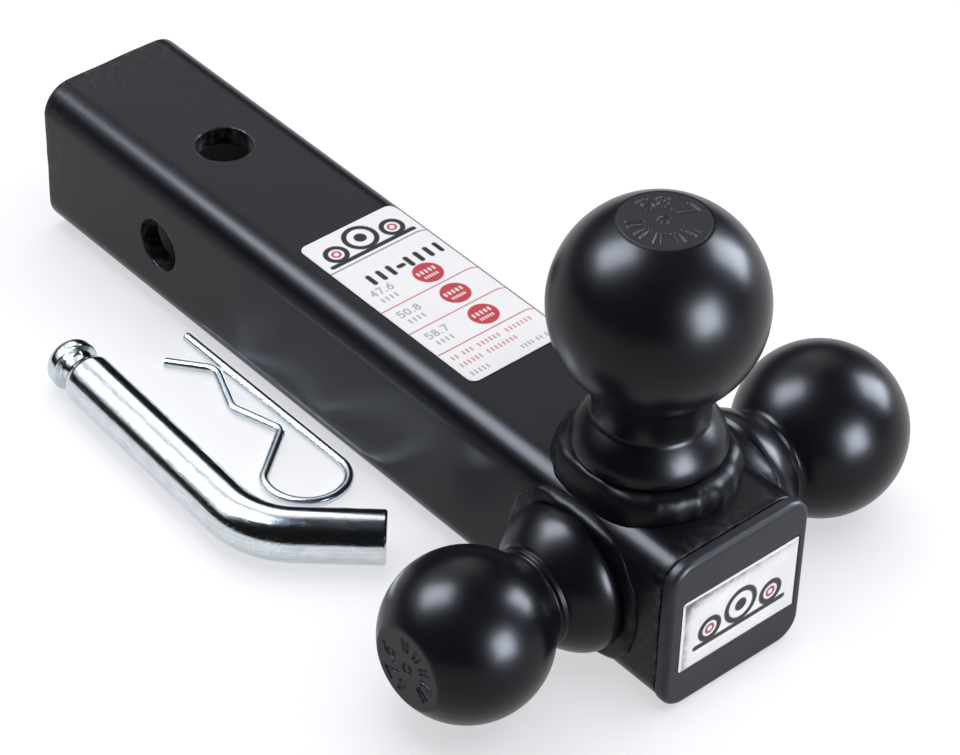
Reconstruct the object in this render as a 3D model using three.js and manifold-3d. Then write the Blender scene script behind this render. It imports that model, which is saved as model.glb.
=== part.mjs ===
// A triple-ball trailer hitch mount, with its hitch pin and spring clip lying beside it.
//
// Millimetres, +Z up. The shank runs along X and its ball end points to +X. The origin is on the underside
// of the shank, straight below the axis of the largest ball.

import * as THREE from 'three';
import { mergeVertices } from 'three/addons/utils/BufferGeometryUtils.js';
import Module from 'manifold-3d';

const wasm = await Module();
wasm.setup();

// Driving dimensions

const INCH = 25.4;

const TUBE_SIZE = 2 * INCH;				// outside of the square tube that fits a 2 inch receiver
const TUBE_WALL = INCH / 4;
const TUBE_CORNER = 9.5;				// outer corner radius of quarter inch wall tube
const TUBE_INNER_CORNER = TUBE_CORNER - TUBE_WALL;
const TUBE_REAR = - 240;
const TUBE_FRONT = 33;
const PIN_HOLE_FROM_REAR = 56.3;
const PIN_HOLE_RADIUS = 8.4;			// clears a 5/8 inch pin

const GAP = 0.3;						// clearance between separate pieces that meet on curved faces

const FOOT_RADIUS = 20.2;				// stem of each ball where it is welded to the tube
const SADDLE_DEPTH = 6;					// how far the uncut stem reaches past the face, before the tube is cut away
const WELD_TOE_RADIUS = 26;				// outer edge of each fillet weld on the face of the tube
const WELD_CREST_RADIUS = 23.4;
const FLAT_RADIUS = 12.2;				// machined flat on the crown of each ball

// One entry for each ball: its nominal diameter, how far its centre stands off the face of the tube, its neck,
// the rim at the widest place of the flared stem, and where the flare begins below the neck.
// turn is the quarter turn about the shank that brings the ball from the top to its own face.
const STATIONS = [
	{ ball: 'ball_2_5_16_in', weld: 'weld_ball_2_5_16_in', diameter: 2.3125 * INCH, standoff: 54.2, neck: 15.8,
		rim: [ 20.8, 9.0 ], flare: [ 17.1, 17.2 ], turn: 0 },
	{ ball: 'ball_2_in', weld: 'weld_ball_2_in', diameter: 2 * INCH, standoff: 42.8, neck: 14.2,
		rim: [ 21.1, 8.5 ], flare: [ 15.9, 18.9 ], turn: - 1 },
	{ ball: 'ball_1_7_8_in', weld: 'weld_ball_1_7_8_in', diameter: 1.875 * INCH, standoff: 37.3, neck: 13.4,
		rim: [ 21.6, 3.0 ], flare: [ 15.2, 13.4 ], turn: 1 },
];

const CAP_SIZE = 50.4;					// flange of the plastic end cap
const CAP_CORNER = 7.5;
const CAP_BACK = TUBE_FRONT + GAP;
const CAP_THICKNESS = 3.9;
const CAP_EDGE = 1.8;					// rounding of the flange's front edge
const PLUG_SIZE = 31;					// hollow plug behind the flange
const PLUG_WALL = 2.4;
const PLUG_LENGTH = 20;
const FIN_SIZE = TUBE_SIZE - 2 * TUBE_WALL - 2 * GAP;
const FIN_THICKNESS = 1.4;
const FIN_STEP = 5.2;
const FIN_COUNT = 3;

const BADGE_WIDTH = 42.4;
const BADGE_HEIGHT = 25;
const BADGE_CENTRE_Y = 0.6;
const BADGE_THICKNESS = 1.1;
const BADGE_RECESS = 0.8;

const LABEL_REAR = - 130;
const LABEL_FRONT = - 53.6;
const LABEL_LEFT = - 15;
const LABEL_WRAP = 28 * Math.PI / 180;	// how far the label follows the rounded corner on its right side
const LABEL_CORNER = 2.6;
const LABEL_THICKNESS = 0.2;
const LABEL_LIFT = 0.1;					// adhesive under the film

const PIN_RADIUS = 0.625 * INCH / 2;
const PIN_TIP = [ - 178, - 65.4 ];	// where the domed end touches its own axis, seen from above
const PIN_YAW = - 3 * Math.PI / 180;	// direction of the straight part, from +X towards +Y
const PIN_STRAIGHT = 96.4;				// from the tip to the corner where the two axes would cross
const PIN_BEND = 51 * Math.PI / 180;
const PIN_BEND_RADIUS = 25;
const PIN_HANDLE = 37.6;				// from that corner to the flat end

const CLIP_WIRE = 1.5;					// radius of the spring wire
const CLIP_LEG_Y = - 27.6;				// centre line of the straight leg

// Where the straight stretches of the clip would cross, as x, y and bend radius, from the end of the straight
// leg, round the pear-shaped loop, to the flared end of the waved leg
const CLIP_CORNERS = [
	[ - 168, CLIP_LEG_Y ],
	[ - 88.4, CLIP_LEG_Y, 8 ],
	[ - 83.6, CLIP_LEG_Y - 14.2, 9 ],
	[ - 94.6, CLIP_LEG_Y - 24.4, 9 ],
	[ - 103.4, CLIP_LEG_Y - 21.6, 6 ],
	[ - 116.6, CLIP_LEG_Y - 4.6, 3 ],
	[ - 133.2, CLIP_LEG_Y - 9.6, 5 ],
	[ - 150, CLIP_LEG_Y - 2.5, 4.5 ],
	[ - 162.5, CLIP_LEG_Y - 12.3 ],
];

const CENTRE_Z = TUBE_SIZE / 2;
const PIN_HOLE_X = TUBE_REAR + PIN_HOLE_FROM_REAR;
const CAP_FRONT = CAP_BACK + CAP_THICKNESS;

// Turns a section drawn in X and Y, and extruded along Z, into one drawn in Y and Z and extruded along X
const ALONG_X = new THREE.Matrix4().makeBasis(
	new THREE.Vector3( 0, 1, 0 ), new THREE.Vector3( 0, 0, 1 ), new THREE.Vector3( 1, 0, 0 ) );

// Solids

function toSolid( geometry ) {

	const bare = geometry.clone();
	bare.deleteAttribute( 'normal' );
	bare.deleteAttribute( 'uv' );
	const merged = mergeVertices( bare );
	const vertProperties = new Float32Array( merged.attributes.position.array );
	const triVerts = new Uint32Array( merged.index.array );
	return new wasm.Manifold( new wasm.Mesh( { numProp: 3, vertProperties, triVerts } ) );

}

function toGeometry( solid ) {

	const { vertProperties, triVerts } = solid.getMesh();
	const geometry = new THREE.BufferGeometry();
	geometry.setAttribute( 'position', new THREE.BufferAttribute( vertProperties, 3 ) );
	geometry.setIndex( new THREE.BufferAttribute( triVerts, 1 ) );
	return geometry;

}

// A square outline with round corners, centred at the origin or at the given point
function roundedRectangle( width, height, radius, x = 0, y = 0 ) {

	const w = width / 2 - radius;
	const h = height / 2 - radius;
	const shape = new THREE.Shape();
	shape.moveTo( x - w, y - h - radius );
	shape.lineTo( x + w, y - h - radius );
	shape.absarc( x + w, y - h, radius, - Math.PI / 2, 0 );
	shape.lineTo( x + w + radius, y + h );
	shape.absarc( x + w, y + h, radius, 0, Math.PI / 2 );
	shape.lineTo( x - w, y + h + radius );
	shape.absarc( x - w, y + h, radius, Math.PI / 2, Math.PI );
	shape.lineTo( x - w - radius, y - h );
	shape.absarc( x - w, y - h, radius, Math.PI, Math.PI * 1.5 );
	return shape;

}

// A section in Y and Z carried along X from start to end. Each round corner gets twice curveSegments sides.
function barAlongX( shape, start, end, curveSegments = 3 ) {

	const geometry = new THREE.ExtrudeGeometry( shape, { depth: end - start, bevelEnabled: false, curveSegments } );
	return geometry.applyMatrix4( ALONG_X ).translate( start, 0, 0 );

}

// A square bar about the X axis
function squareBar( size, radius, start, end, curveSegments ) {

	return barAlongX( roundedRectangle( size, size, radius ), start, end, curveSegments );

}

// Square tube with two pin holes drilled across each other near the rear end, in coordinates about its axis
function shankTube() {

	const section = roundedRectangle( TUBE_SIZE, TUBE_SIZE, TUBE_CORNER );
	const inside = TUBE_SIZE - 2 * TUBE_WALL;
	section.holes.push( roundedRectangle( inside, inside, TUBE_INNER_CORNER ) );
	const drill = new THREE.CylinderGeometry( PIN_HOLE_RADIUS, PIN_HOLE_RADIUS, TUBE_SIZE + 10, 32 );
	drill.translate( PIN_HOLE_X, 0, 0 );
	const sideways = toSolid( drill );
	const upright = toSolid( drill.clone().rotateX( Math.PI / 2 ) );
	return toSolid( barAlongX( section, TUBE_REAR, TUBE_FRONT, 4 ) ).subtract( sideways ).subtract( upright );

}

// The outside of the tube, swollen by the gap, which every welded piece is cut to
const tubeCutter = toSolid( squareBar( TUBE_SIZE + 2 * GAP, TUBE_CORNER + GAP, - 40, 40, 4 ) );

// Half profile of a forged ball with its neck ring, flared stem and foot. Heights are from the face of the tube.
function ballProfile( { diameter, standoff, neck, rim, flare } ) {

	const radius = diameter / 2;
	const [ rimRadius, rimHeight ] = rim;
	const [ flareRadius, flareHeight ] = flare;
	const points = [
		[ 0, - SADDLE_DEPTH ],
		[ FOOT_RADIUS, - SADDLE_DEPTH ],
		[ FOOT_RADIUS, rimHeight - 1.6 ],
		[ rimRadius, rimHeight - 0.8 ],
		[ rimRadius, rimHeight + 0.6 ],
	];
	const flareSteps = 4;
	for ( let i = 1; i <= flareSteps; i ++ ) {

		const t = i / flareSteps;
		const swell = ( 1 - t ) ** 1.4;
		points.push( [ flareRadius + ( rimRadius - flareRadius ) * swell,
			rimHeight + 0.6 + ( flareHeight - rimHeight - 0.6 ) * t ] );

	}

	points.push( [ neck, flareHeight + 0.9 ] );

	// the ball itself, from where it meets the neck, over the widest circle, up to the flat
	const low = Math.acos( neck / radius );
	const high = Math.acos( FLAT_RADIUS / radius );
	const arcSteps = 7;
	for ( let i = - arcSteps; i <= arcSteps; i ++ ) {

		const angle = ( i < 0 ? low : high ) * i / arcSteps;
		points.push( [ radius * Math.cos( angle ), standoff + radius * Math.sin( angle ) ] );

	}

	points.push( [ 0, standoff + radius * Math.sin( high ) ] );
	return points;

}

// A profile of radius and height, turned about an upright axis whose zero height is the face of the tube
function turned( profile, segments ) {

	const geometry = new THREE.LatheGeometry( profile.map( ( [ r, h ] ) => new THREE.Vector2( r, h ) ), segments );
	return toSolid( geometry.applyMatrix4( ALONG_X ).translate( 0, 0, CENTRE_Z ) );

}

function ballWithStem( station ) {

	return turned( ballProfile( station ), 36 ).subtract( tubeCutter );

}

// Fillet weld round the foot of a ball. It stops at the diagonals of the tube, where the next weld begins.
function fillet( { rim } ) {

	const top = rim[ 1 ] - 1.6 - GAP;
	const inner = FOOT_RADIUS + GAP;
	const ring = turned( [
		[ inner, - SADDLE_DEPTH ],
		[ WELD_TOE_RADIUS, - SADDLE_DEPTH ],
		[ WELD_TOE_RADIUS, 0.6 ],
		[ WELD_CREST_RADIUS + 1, 0.5 * top ],
		[ Math.min( WELD_CREST_RADIUS, rim[ 0 ] + 1.6 ), top ],
		[ inner, top ],
		[ inner, - SADDLE_DEPTH ],
	], 36 );
	const reach = 45;
	const wedge = new THREE.Shape();
	wedge.moveTo( 0, GAP / 2 * Math.SQRT2 );
	wedge.lineTo( reach, reach + GAP / 2 * Math.SQRT2 );
	wedge.lineTo( - reach, reach + GAP / 2 * Math.SQRT2 );
	wedge.closePath();
	return ring.intersect( toSolid( barAlongX( wedge, - reach, reach ) ) ).subtract( tubeCutter );

}

// Plastic end cap: a flange with a rounded front edge, a recess for the badge, and a hollow plug with fins
// that grip the inside of the tube
function endCap() {

	const steps = 3;
	let cap = toSolid( squareBar( CAP_SIZE, CAP_CORNER, CAP_BACK, CAP_FRONT - CAP_EDGE ) );
	for ( let i = 1; i <= steps; i ++ ) {

		const angle = i / steps * Math.PI / 2;
		const inset = CAP_EDGE * ( 1 - Math.cos( angle ) );
		const front = CAP_FRONT - CAP_EDGE + CAP_EDGE * Math.sin( angle );
		cap = cap.add( toSolid( squareBar( CAP_SIZE - 2 * inset, CAP_CORNER - inset, CAP_BACK, front ) ) );

	}

	const plugEnd = CAP_BACK - PLUG_LENGTH;
	cap = cap.add( toSolid( squareBar( PLUG_SIZE, 4, plugEnd, CAP_BACK + 1 ) ) );
	for ( let i = 0; i < FIN_COUNT; i ++ ) {

		const start = plugEnd + 3 + i * FIN_STEP;
		cap = cap.add( toSolid( squareBar( FIN_SIZE, TUBE_INNER_CORNER, start, start + FIN_THICKNESS ) ) );

	}

	const hollow = PLUG_SIZE - 2 * PLUG_WALL;
	cap = cap.subtract( toSolid( squareBar( hollow, 2, plugEnd - 1, CAP_BACK ) ) );
	const recess = roundedRectangle( BADGE_WIDTH + 2 * GAP, BADGE_HEIGHT + 2 * GAP, 1, BADGE_CENTRE_Y, 0 );
	return cap.subtract( toSolid( barAlongX( recess, CAP_FRONT - BADGE_RECESS, CAP_FRONT + 1 ) ) );

}

// Resin-domed metal badge that sits in the recess of the cap
function badge() {

	const back = CAP_FRONT - BADGE_RECESS + GAP;
	const plate = roundedRectangle( BADGE_WIDTH, BADGE_HEIGHT, 0.9, BADGE_CENTRE_Y, 0 );
	const dome = roundedRectangle( BADGE_WIDTH - 1.6, BADGE_HEIGHT - 1.6, 0.9, BADGE_CENTRE_Y, 0 );
	const base = toSolid( barAlongX( plate, back, back + BADGE_THICKNESS * 0.6 ) );
	return base.add( toSolid( barAlongX( dome, back, back + BADGE_THICKNESS ) ) );

}

// Printed film on the top of the shank. Its right edge is stuck down over the rounded corner.
function label() {

	const half = CENTRE_Z;
	const bend = half - TUBE_CORNER;
	const under = TUBE_CORNER + LABEL_LIFT;
	const over = under + LABEL_THICKNESS;
	const strip = new THREE.Shape();
	strip.moveTo( LABEL_LEFT, bend + under );
	strip.lineTo( bend, bend + under );
	strip.absarc( bend, bend, under, Math.PI / 2, Math.PI / 2 - LABEL_WRAP, true );
	strip.lineTo( bend + over * Math.sin( LABEL_WRAP ), bend + over * Math.cos( LABEL_WRAP ) );
	strip.absarc( bend, bend, over, Math.PI / 2 - LABEL_WRAP, Math.PI / 2, false );
	strip.lineTo( LABEL_LEFT, bend + over );
	strip.closePath();
	const right = bend + over * Math.sin( LABEL_WRAP ) + 0.5;
	const outline = roundedRectangle( LABEL_FRONT - LABEL_REAR, right - LABEL_LEFT, LABEL_CORNER,
		( LABEL_FRONT + LABEL_REAR ) / 2, ( LABEL_LEFT + right ) / 2 );
	const punch = new THREE.ExtrudeGeometry( outline, { depth: 60, bevelEnabled: false, curveSegments: 3 } );
	return toSolid( barAlongX( strip, LABEL_REAR, LABEL_FRONT, 4 ) ).intersect( toSolid( punch ) );

}

// A flat route of straight stretches joined by round bends. corners holds [ x, y, bend radius ] in order.
function bentRoute( corners, z ) {

	const route = new THREE.CurvePath();
	const at = ( [ x, y ] ) => new THREE.Vector3( x, y, z );
	let from = at( corners[ 0 ] );
	for ( let i = 1; i < corners.length - 1; i ++ ) {

		const corner = at( corners[ i ] );
		const back = at( corners[ i - 1 ] ).sub( corner ).normalize();
		const ahead = at( corners[ i + 1 ] ).sub( corner ).normalize();
		const reach = corners[ i ][ 2 ] / Math.tan( back.angleTo( ahead ) / 2 );
		const start = corner.clone().addScaledVector( back, reach );
		const end = corner.clone().addScaledVector( ahead, reach );
		route.add( new THREE.LineCurve3( from, start ) );
		route.add( new BendCurve( corner, start, end ) );
		from = end;

	}

	route.add( new THREE.LineCurve3( from, at( corners[ corners.length - 1 ] ) ) );
	return route;

}

// A round bend between two straight stretches that would meet at corner
class BendCurve extends THREE.Curve {

	constructor( corner, start, end ) {

		super();
		const half = start.clone().sub( corner ).angleTo( end.clone().sub( corner ) ) / 2;
		const middle = start.clone().add( end ).multiplyScalar( 0.5 );
		const distance = start.distanceTo( corner ) / Math.cos( half );
		this.centre = corner.clone().addScaledVector( middle.sub( corner ).normalize(), distance );
		this.from = start.clone().sub( this.centre );
		this.to = end.clone().sub( this.centre );
		this.sweep = this.from.angleTo( this.to );

	}

	getPoint( t, target = new THREE.Vector3() ) {

		const a = Math.sin( ( 1 - t ) * this.sweep ) / Math.sin( this.sweep );
		const b = Math.sin( t * this.sweep ) / Math.sin( this.sweep );
		return target.copy( this.centre ).addScaledVector( this.from, a ).addScaledVector( this.to, b );

	}

}

// Round bar along a route. The section has the given number of sides and the route is cut into equal steps.
function roundBar( route, radius, sides, steps ) {

	const section = new THREE.Shape();
	section.absarc( 0, 0, radius, 0, Math.PI * 2 );
	return toSolid( new THREE.ExtrudeGeometry( section, {
		steps, curveSegments: sides / 2, extrudePath: route, bevelEnabled: false } ) );

}

// Bent hitch pin: a straight shank with a grooved, domed end, and a handle bent to one side
function hitchPin() {

	const along = new THREE.Vector2( Math.cos( PIN_YAW ), Math.sin( PIN_YAW ) );
	const handle = new THREE.Vector2( Math.cos( PIN_YAW + PIN_BEND ), Math.sin( PIN_YAW + PIN_BEND ) );
	const tip = new THREE.Vector2( ...PIN_TIP );
	const corner = tip.clone().addScaledVector( along, PIN_STRAIGHT );
	const end = corner.clone().addScaledVector( handle, PIN_HANDLE );
	const shoulder = 14.5;
	const start = tip.clone().addScaledVector( along, shoulder - 0.5 );
	const route = bentRoute( [ start.toArray(), [ ...corner.toArray(), PIN_BEND_RADIUS ], end.toArray() ],
		PIN_RADIUS );
	const bar = roundBar( route, PIN_RADIUS, 24, 28 );

	// dome, rim, clip groove and the chamfer of the shank, as radius against distance from the tip
	const head = [ [ 0, 0 ], [ 2.9, 0.35 ], [ 5.5, 1.5 ], [ 7.2, 3.3 ], [ 7.8, 5.2 ], [ 7.8, 6.8 ], [ 7.2, 7.5 ],
		[ 5.6, 7.8 ], [ 5.6, 11.6 ], [ 6.9, 11.9 ], [ PIN_RADIUS, shoulder ], [ PIN_RADIUS, shoulder + 1 ],
		[ 0, shoulder + 1 ] ];
	const turnedHead = new THREE.LatheGeometry( head.map( ( [ r, s ] ) => new THREE.Vector2( r, s ) ), 24 );
	turnedHead.rotateZ( - Math.PI / 2 ).rotateZ( PIN_YAW ).translate( tip.x, tip.y, PIN_RADIUS );
	return bar.add( toSolid( turnedHead ) );

}

// Spring clip of one bent wire: a straight leg, a pear-shaped loop, and a leg waved to snap over the pin
function hitchClip() {

	return roundBar( bentRoute( CLIP_CORNERS, CLIP_WIRE ), CLIP_WIRE, 10, 84 );

}

// Materials

function finish( color, roughness, metalness ) {

	return new THREE.MeshStandardMaterial( { color, roughness, metalness } );

}

// Assembly

function named( name, solid, material ) {

	const mesh = new THREE.Mesh( toGeometry( solid ), material );
	mesh.name = name;
	return mesh;

}

const hitch = new THREE.Group();

const mount = new THREE.Group();
mount.position.z = CENTRE_Z;
mount.add( named( 'shank_tube', shankTube(), finish( 0x1d1e21, 0.55, 0.2 ) ) );
mount.add( named( 'end_cap', endCap(), finish( 0x1a1b20, 0.45, 0 ) ) );
mount.add( named( 'cap_badge', badge(), finish( 0xd9dadc, 0.3, 0.6 ) ) );
mount.add( named( 'shank_label', label(), finish( 0xe9e9ec, 0.5, 0 ) ) );
for ( const station of STATIONS ) {

	const face = new THREE.Group();
	face.rotation.x = station.turn * Math.PI / 2;
	face.add( named( station.ball, ballWithStem( station ), finish( 0x121318, 0.35, 0.3 ) ) );
	face.add( named( station.weld, fillet( station ), finish( 0x121318, 0.45, 0.3 ) ) );
	mount.add( face );

}

hitch.add( mount );
hitch.add( named( 'hitch_pin', hitchPin(), finish( 0xc9d0d6, 0.2, 1 ) ) );
hitch.add( named( 'hitch_clip', hitchClip(), finish( 0xc3ccd3, 0.22, 1 ) ) );

export default hitch;
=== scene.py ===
import math

import bmesh
import bpy
import numpy as np
from mathutils import Matrix, Vector


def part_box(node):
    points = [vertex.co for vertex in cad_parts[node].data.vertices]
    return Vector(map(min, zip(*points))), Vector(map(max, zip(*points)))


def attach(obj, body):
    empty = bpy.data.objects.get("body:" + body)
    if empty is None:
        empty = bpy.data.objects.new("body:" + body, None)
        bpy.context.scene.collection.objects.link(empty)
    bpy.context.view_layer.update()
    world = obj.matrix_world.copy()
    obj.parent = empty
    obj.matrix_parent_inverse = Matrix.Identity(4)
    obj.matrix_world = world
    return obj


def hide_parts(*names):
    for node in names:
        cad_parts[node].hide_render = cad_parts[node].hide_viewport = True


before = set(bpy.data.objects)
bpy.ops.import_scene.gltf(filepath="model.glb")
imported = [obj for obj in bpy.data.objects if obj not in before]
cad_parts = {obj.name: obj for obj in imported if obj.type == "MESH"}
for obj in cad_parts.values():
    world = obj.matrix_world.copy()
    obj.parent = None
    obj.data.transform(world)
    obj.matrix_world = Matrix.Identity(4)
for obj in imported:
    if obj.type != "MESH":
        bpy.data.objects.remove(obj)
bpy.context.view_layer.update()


# ---------------------------------------------------------------------------------------------------
# The shank: square steel tube of quarter inch wall, sawn to length, with two holes drilled across each
# other for the hitch pin. It is blasted and powder coated satin black, which rounds every sharp edge.

MM = 0.001
WALL = 6.35
TUBE_CORNER = 9.5
SAWN_EDGE = 0.5             # rounding of the sawn ends
SAWN_WAVE = 0.13            # how far the saw cut wanders
SAWN_REACH = 1.5            # how far its waves and its scuffs reach along the tube
SCUFF_REACH = 0.7           # how far the scuffs reach into the sawn face
SCUFF_INSIDE = 0.25         # how much of them is left in the middle of that face
PIN_HOLE = 8.4              # radius
PIN_HOLE_FROM_REAR = 56.3
HOLE_EDGE = 0.5
HOLE_EDGE_WAVE = 0.16
HOLE_PATCH = 12.0           # half width of the square of skin round each hole
HOLE_SIDES = 24             # sides of the hole in each quarter turn
COAT_BLACK = (0.0066, 0.0068, 0.0100, 1)
COAT_GREY = (0.0096, 0.0098, 0.0140, 1)
COAT_SCUFF = (0.075, 0.075, 0.078, 1)

tube_low, tube_high = (np.array(corner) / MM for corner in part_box("shank_tube"))
TUBE_REAR, TUBE_FRONT = tube_low[0], tube_high[0]
HALF = (tube_high[1] - tube_low[1]) / 2
MIDDLE_Z = (tube_high[2] + tube_low[2]) / 2
FLAT_HALF = HALF - TUBE_CORNER
PIN_HOLE_X = TUBE_REAR + PIN_HOLE_FROM_REAR


def waves(position, period, seed, count=6):
    """An even, random-looking ripple between about -1 and 1: a sum of sines whose whole numbers of turns
    in one period grow, and whose heights shrink, each with a shift drawn from the seeded generator."""
    shifts = np.random.default_rng(seed).uniform(0, 2 * np.pi, count)
    turns = np.arange(2, 2 + 3 * count, 3)
    angles = 2 * np.pi * np.multiply.outer(position / period, turns) + shifts
    return (np.sin(angles) / np.sqrt(turns)).sum(axis=-1)


def sheet(grid, wrap_rows=False, wrap_columns=False, keep=None):
    """Quads between the neighbouring points of a grid of rows and columns. A wrapped grid has quads from
    its last row or column back to its first as well, and keep marks the quads that stay."""
    index = np.arange(grid.shape[0] * grid.shape[1]).reshape(grid.shape[:2])
    if wrap_rows:
        index = np.vstack([index, index[:1]])
    if wrap_columns:
        index = np.hstack([index, index[:, :1]])
    quads = np.stack([index[:-1, :-1], index[1:, :-1], index[1:, 1:], index[:-1, 1:]], axis=2)
    return grid.reshape(-1, 3), quads.reshape(-1, 4) if keep is None else quads[keep]


def add_piece(node, sheets, material, body="mount", sharp=40, marks=None):
    """One closed piece in place of a CAD node. Its sheets, in millimetres, are put into one mesh of metres,
    doubled points are merged, and all faces are turned outwards. Edges sharper than the given angle stay
    crisp, and marks holds named values or coordinates of every point, for the material."""
    starts = np.cumsum([0] + [len(points) for points, _ in sheets])
    points = np.vstack([points for points, _ in sheets])
    quads = np.vstack([quads + start for (_, quads), start in zip(sheets, starts)])
    mesh = bpy.data.meshes.new(node + "_finished")
    mesh.vertices.add(len(points))
    mesh.vertices.foreach_set("co", (points * MM).astype(np.float32).ravel())
    mesh.loops.add(quads.size)
    mesh.loops.foreach_set("vertex_index", quads.astype(np.int32).ravel())
    mesh.polygons.add(len(quads))
    mesh.polygons.foreach_set("loop_start", np.arange(0, quads.size, 4, dtype=np.int32))
    mesh.update(calc_edges=True)
    for name, values in (marks or {}).items():
        kind, key = ("FLOAT", "value") if values.ndim == 1 else ("FLOAT_VECTOR", "vector")
        layer = mesh.attributes.new(name, kind, "POINT")
        layer.data.foreach_set(key, values.astype(np.float32).ravel())
    merged = bmesh.new()
    merged.from_mesh(mesh)
    bmesh.ops.remove_doubles(merged, verts=merged.verts, dist=2e-6)
    bmesh.ops.recalc_face_normals(merged, faces=merged.faces)
    merged.to_mesh(mesh)
    merged.free()
    mesh.shade_smooth()
    mesh.set_sharp_from_angle(angle=math.radians(sharp))
    mesh.materials.append(material)
    piece = bpy.data.objects.new(node + "_finished", mesh)
    bpy.context.scene.collection.objects.link(piece)
    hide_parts(node)
    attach(piece, body)
    return piece


def to_side(along, out, quarter):
    """Y and Z of points given along and out from the middle of a side of the tube, for the top side and,
    a quarter turn at a time, the 2 inch ball's side, the underside and the other side."""
    y, z = [(along, out), (out, -along), (-along, -out), (-out, along)][quarter % 4]
    return y, MIDDLE_Z + z


def tube_outline(depth):
    """Outline of the tube at each depth below its skin, as Y and Z. Each side is a flat run and a quarter
    circle, whose radius is the corner's less the depth, so that all the outlines share their centres."""
    holes = HOLE_PATCH * np.tan(np.radians(np.linspace(-45, 45, HOLE_SIDES + 1)))
    flat = np.concatenate([[-FLAT_HALF], holes])
    turn = np.radians(np.linspace(90, 0, 17)[:-1])
    radius = (TUBE_CORNER - depth)[:, None]
    along = np.hstack([np.broadcast_to(flat, (len(depth), len(flat))), FLAT_HALF + radius * np.cos(turn)])
    out = np.hstack([np.broadcast_to(FLAT_HALF + radius, (len(depth), len(flat))),
                     FLAT_HALF + radius * np.sin(turn)])
    sides = [np.stack(to_side(along, out, quarter), axis=2) for quarter in range(4)]
    return np.concatenate(sides, axis=1), np.tile(np.concatenate([flat, np.full(16, np.inf)]), 4)


def tube_skin():
    """The outline carried along a closed lengthwise course: forwards on the outside, round the front edge
    and into the wall, back along the inside, and round the rear edge. Four squares are left open on each
    skin, where the holes come."""
    quarter = np.radians(np.linspace(0, 90, 6))
    holes = PIN_HOLE_X + HOLE_PATCH * np.tan(np.radians(np.linspace(-45, 45, HOLE_SIDES + 1)))
    run = np.concatenate([[TUBE_REAR + SAWN_EDGE, TUBE_REAR + 2, TUBE_REAR + 20], holes,
                          np.linspace(PIN_HOLE_X + 30, TUBE_FRONT - 8, 14),
                          [TUBE_FRONT - 2, TUBE_FRONT - SAWN_EDGE]])
    over, under = SAWN_EDGE * np.sin(quarter), SAWN_EDGE * (1 - np.cos(quarter))
    front = TUBE_FRONT - SAWN_EDGE + over
    rear = TUBE_REAR + SAWN_EDGE - over
    x = np.concatenate([run, front[1:], front[::-1][:-1], run[::-1], rear[1:], rear[::-1][:-1]])
    depth = np.concatenate([np.zeros(len(run)), under[1:], WALL - under[::-1][:-1],
                            np.full(len(run), WALL), WALL - under[1:], under[::-1][:-1]])
    outline, along = tube_outline(depth)
    around = np.linspace(0, 1, outline.shape[1], endpoint=False)
    near_rear = np.exp(-(x - TUBE_REAR) / SAWN_REACH)[:, None]
    near_front = np.exp(-(TUBE_FRONT - x) / SAWN_REACH)[:, None]
    saw = SAWN_WAVE * (near_rear * waves(around, 1, 3) + near_front * waves(around, 1, 4))
    grid = np.dstack([x[:, None] + saw, outline])
    middle_x = (x + np.roll(x, -1)) / 2
    flat_run = np.isin(depth, (0, WALL)) & np.isin(np.roll(depth, -1), (0, WALL))
    in_x = flat_run & (np.abs(middle_x - PIN_HOLE_X) < HOLE_PATCH)
    in_y = np.abs(along + np.roll(along, -1)) / 2 < HOLE_PATCH
    near_edge = np.exp(-np.minimum(depth, WALL - depth) / SCUFF_REACH)[:, None]
    scuffs = np.maximum(near_rear, near_front) * (SCUFF_INSIDE + (1 - SCUFF_INSIDE) * near_edge)
    wear = scuffs * np.ones(outline.shape[1])
    return sheet(grid, True, True, ~np.logical_and.outer(in_x, in_y)), wear.ravel()


def pin_hole(quarter):
    """Skin, rim and bore of a pin hole. Rings run from the open square in the outer skin to a circle, over
    the rim in a quarter circle of uneven radius, down the bore, and out again over the inner rim."""
    turn = np.radians(np.arange(-45, 315, 90 / HOLE_SIDES))
    across, up = np.cos(turn), np.sin(turn)
    square = HOLE_PATCH / np.maximum(abs(across), abs(up))
    edge = HOLE_EDGE + HOLE_EDGE_WAVE * waves(turn, 2 * np.pi, 10 + quarter)
    arc = np.radians(np.linspace(0, 90, 6))[:, None]
    rim_radius = PIN_HOLE + edge * (1 - np.sin(arc))
    rim_depth = edge * (1 - np.cos(arc))
    ring = PIN_HOLE + edge + 0.3
    skin = ring + (square - ring) * np.array([1, 0.6, 0.25, 0])[:, None]
    radius = np.vstack([skin, rim_radius, rim_radius[::-1], skin[::-1]])
    depth = np.vstack([0 * skin, rim_depth, WALL - rim_depth[::-1], WALL + 0 * skin])
    y, z = to_side(radius * up, HALF - depth, quarter)
    wear = np.vstack([0 * skin, 1 + 0 * rim_depth, 1 + 0 * rim_depth, 0 * skin])
    return sheet(np.dstack([PIN_HOLE_X + radius * across, y, z]), wrap_columns=True), wear.ravel()


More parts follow.
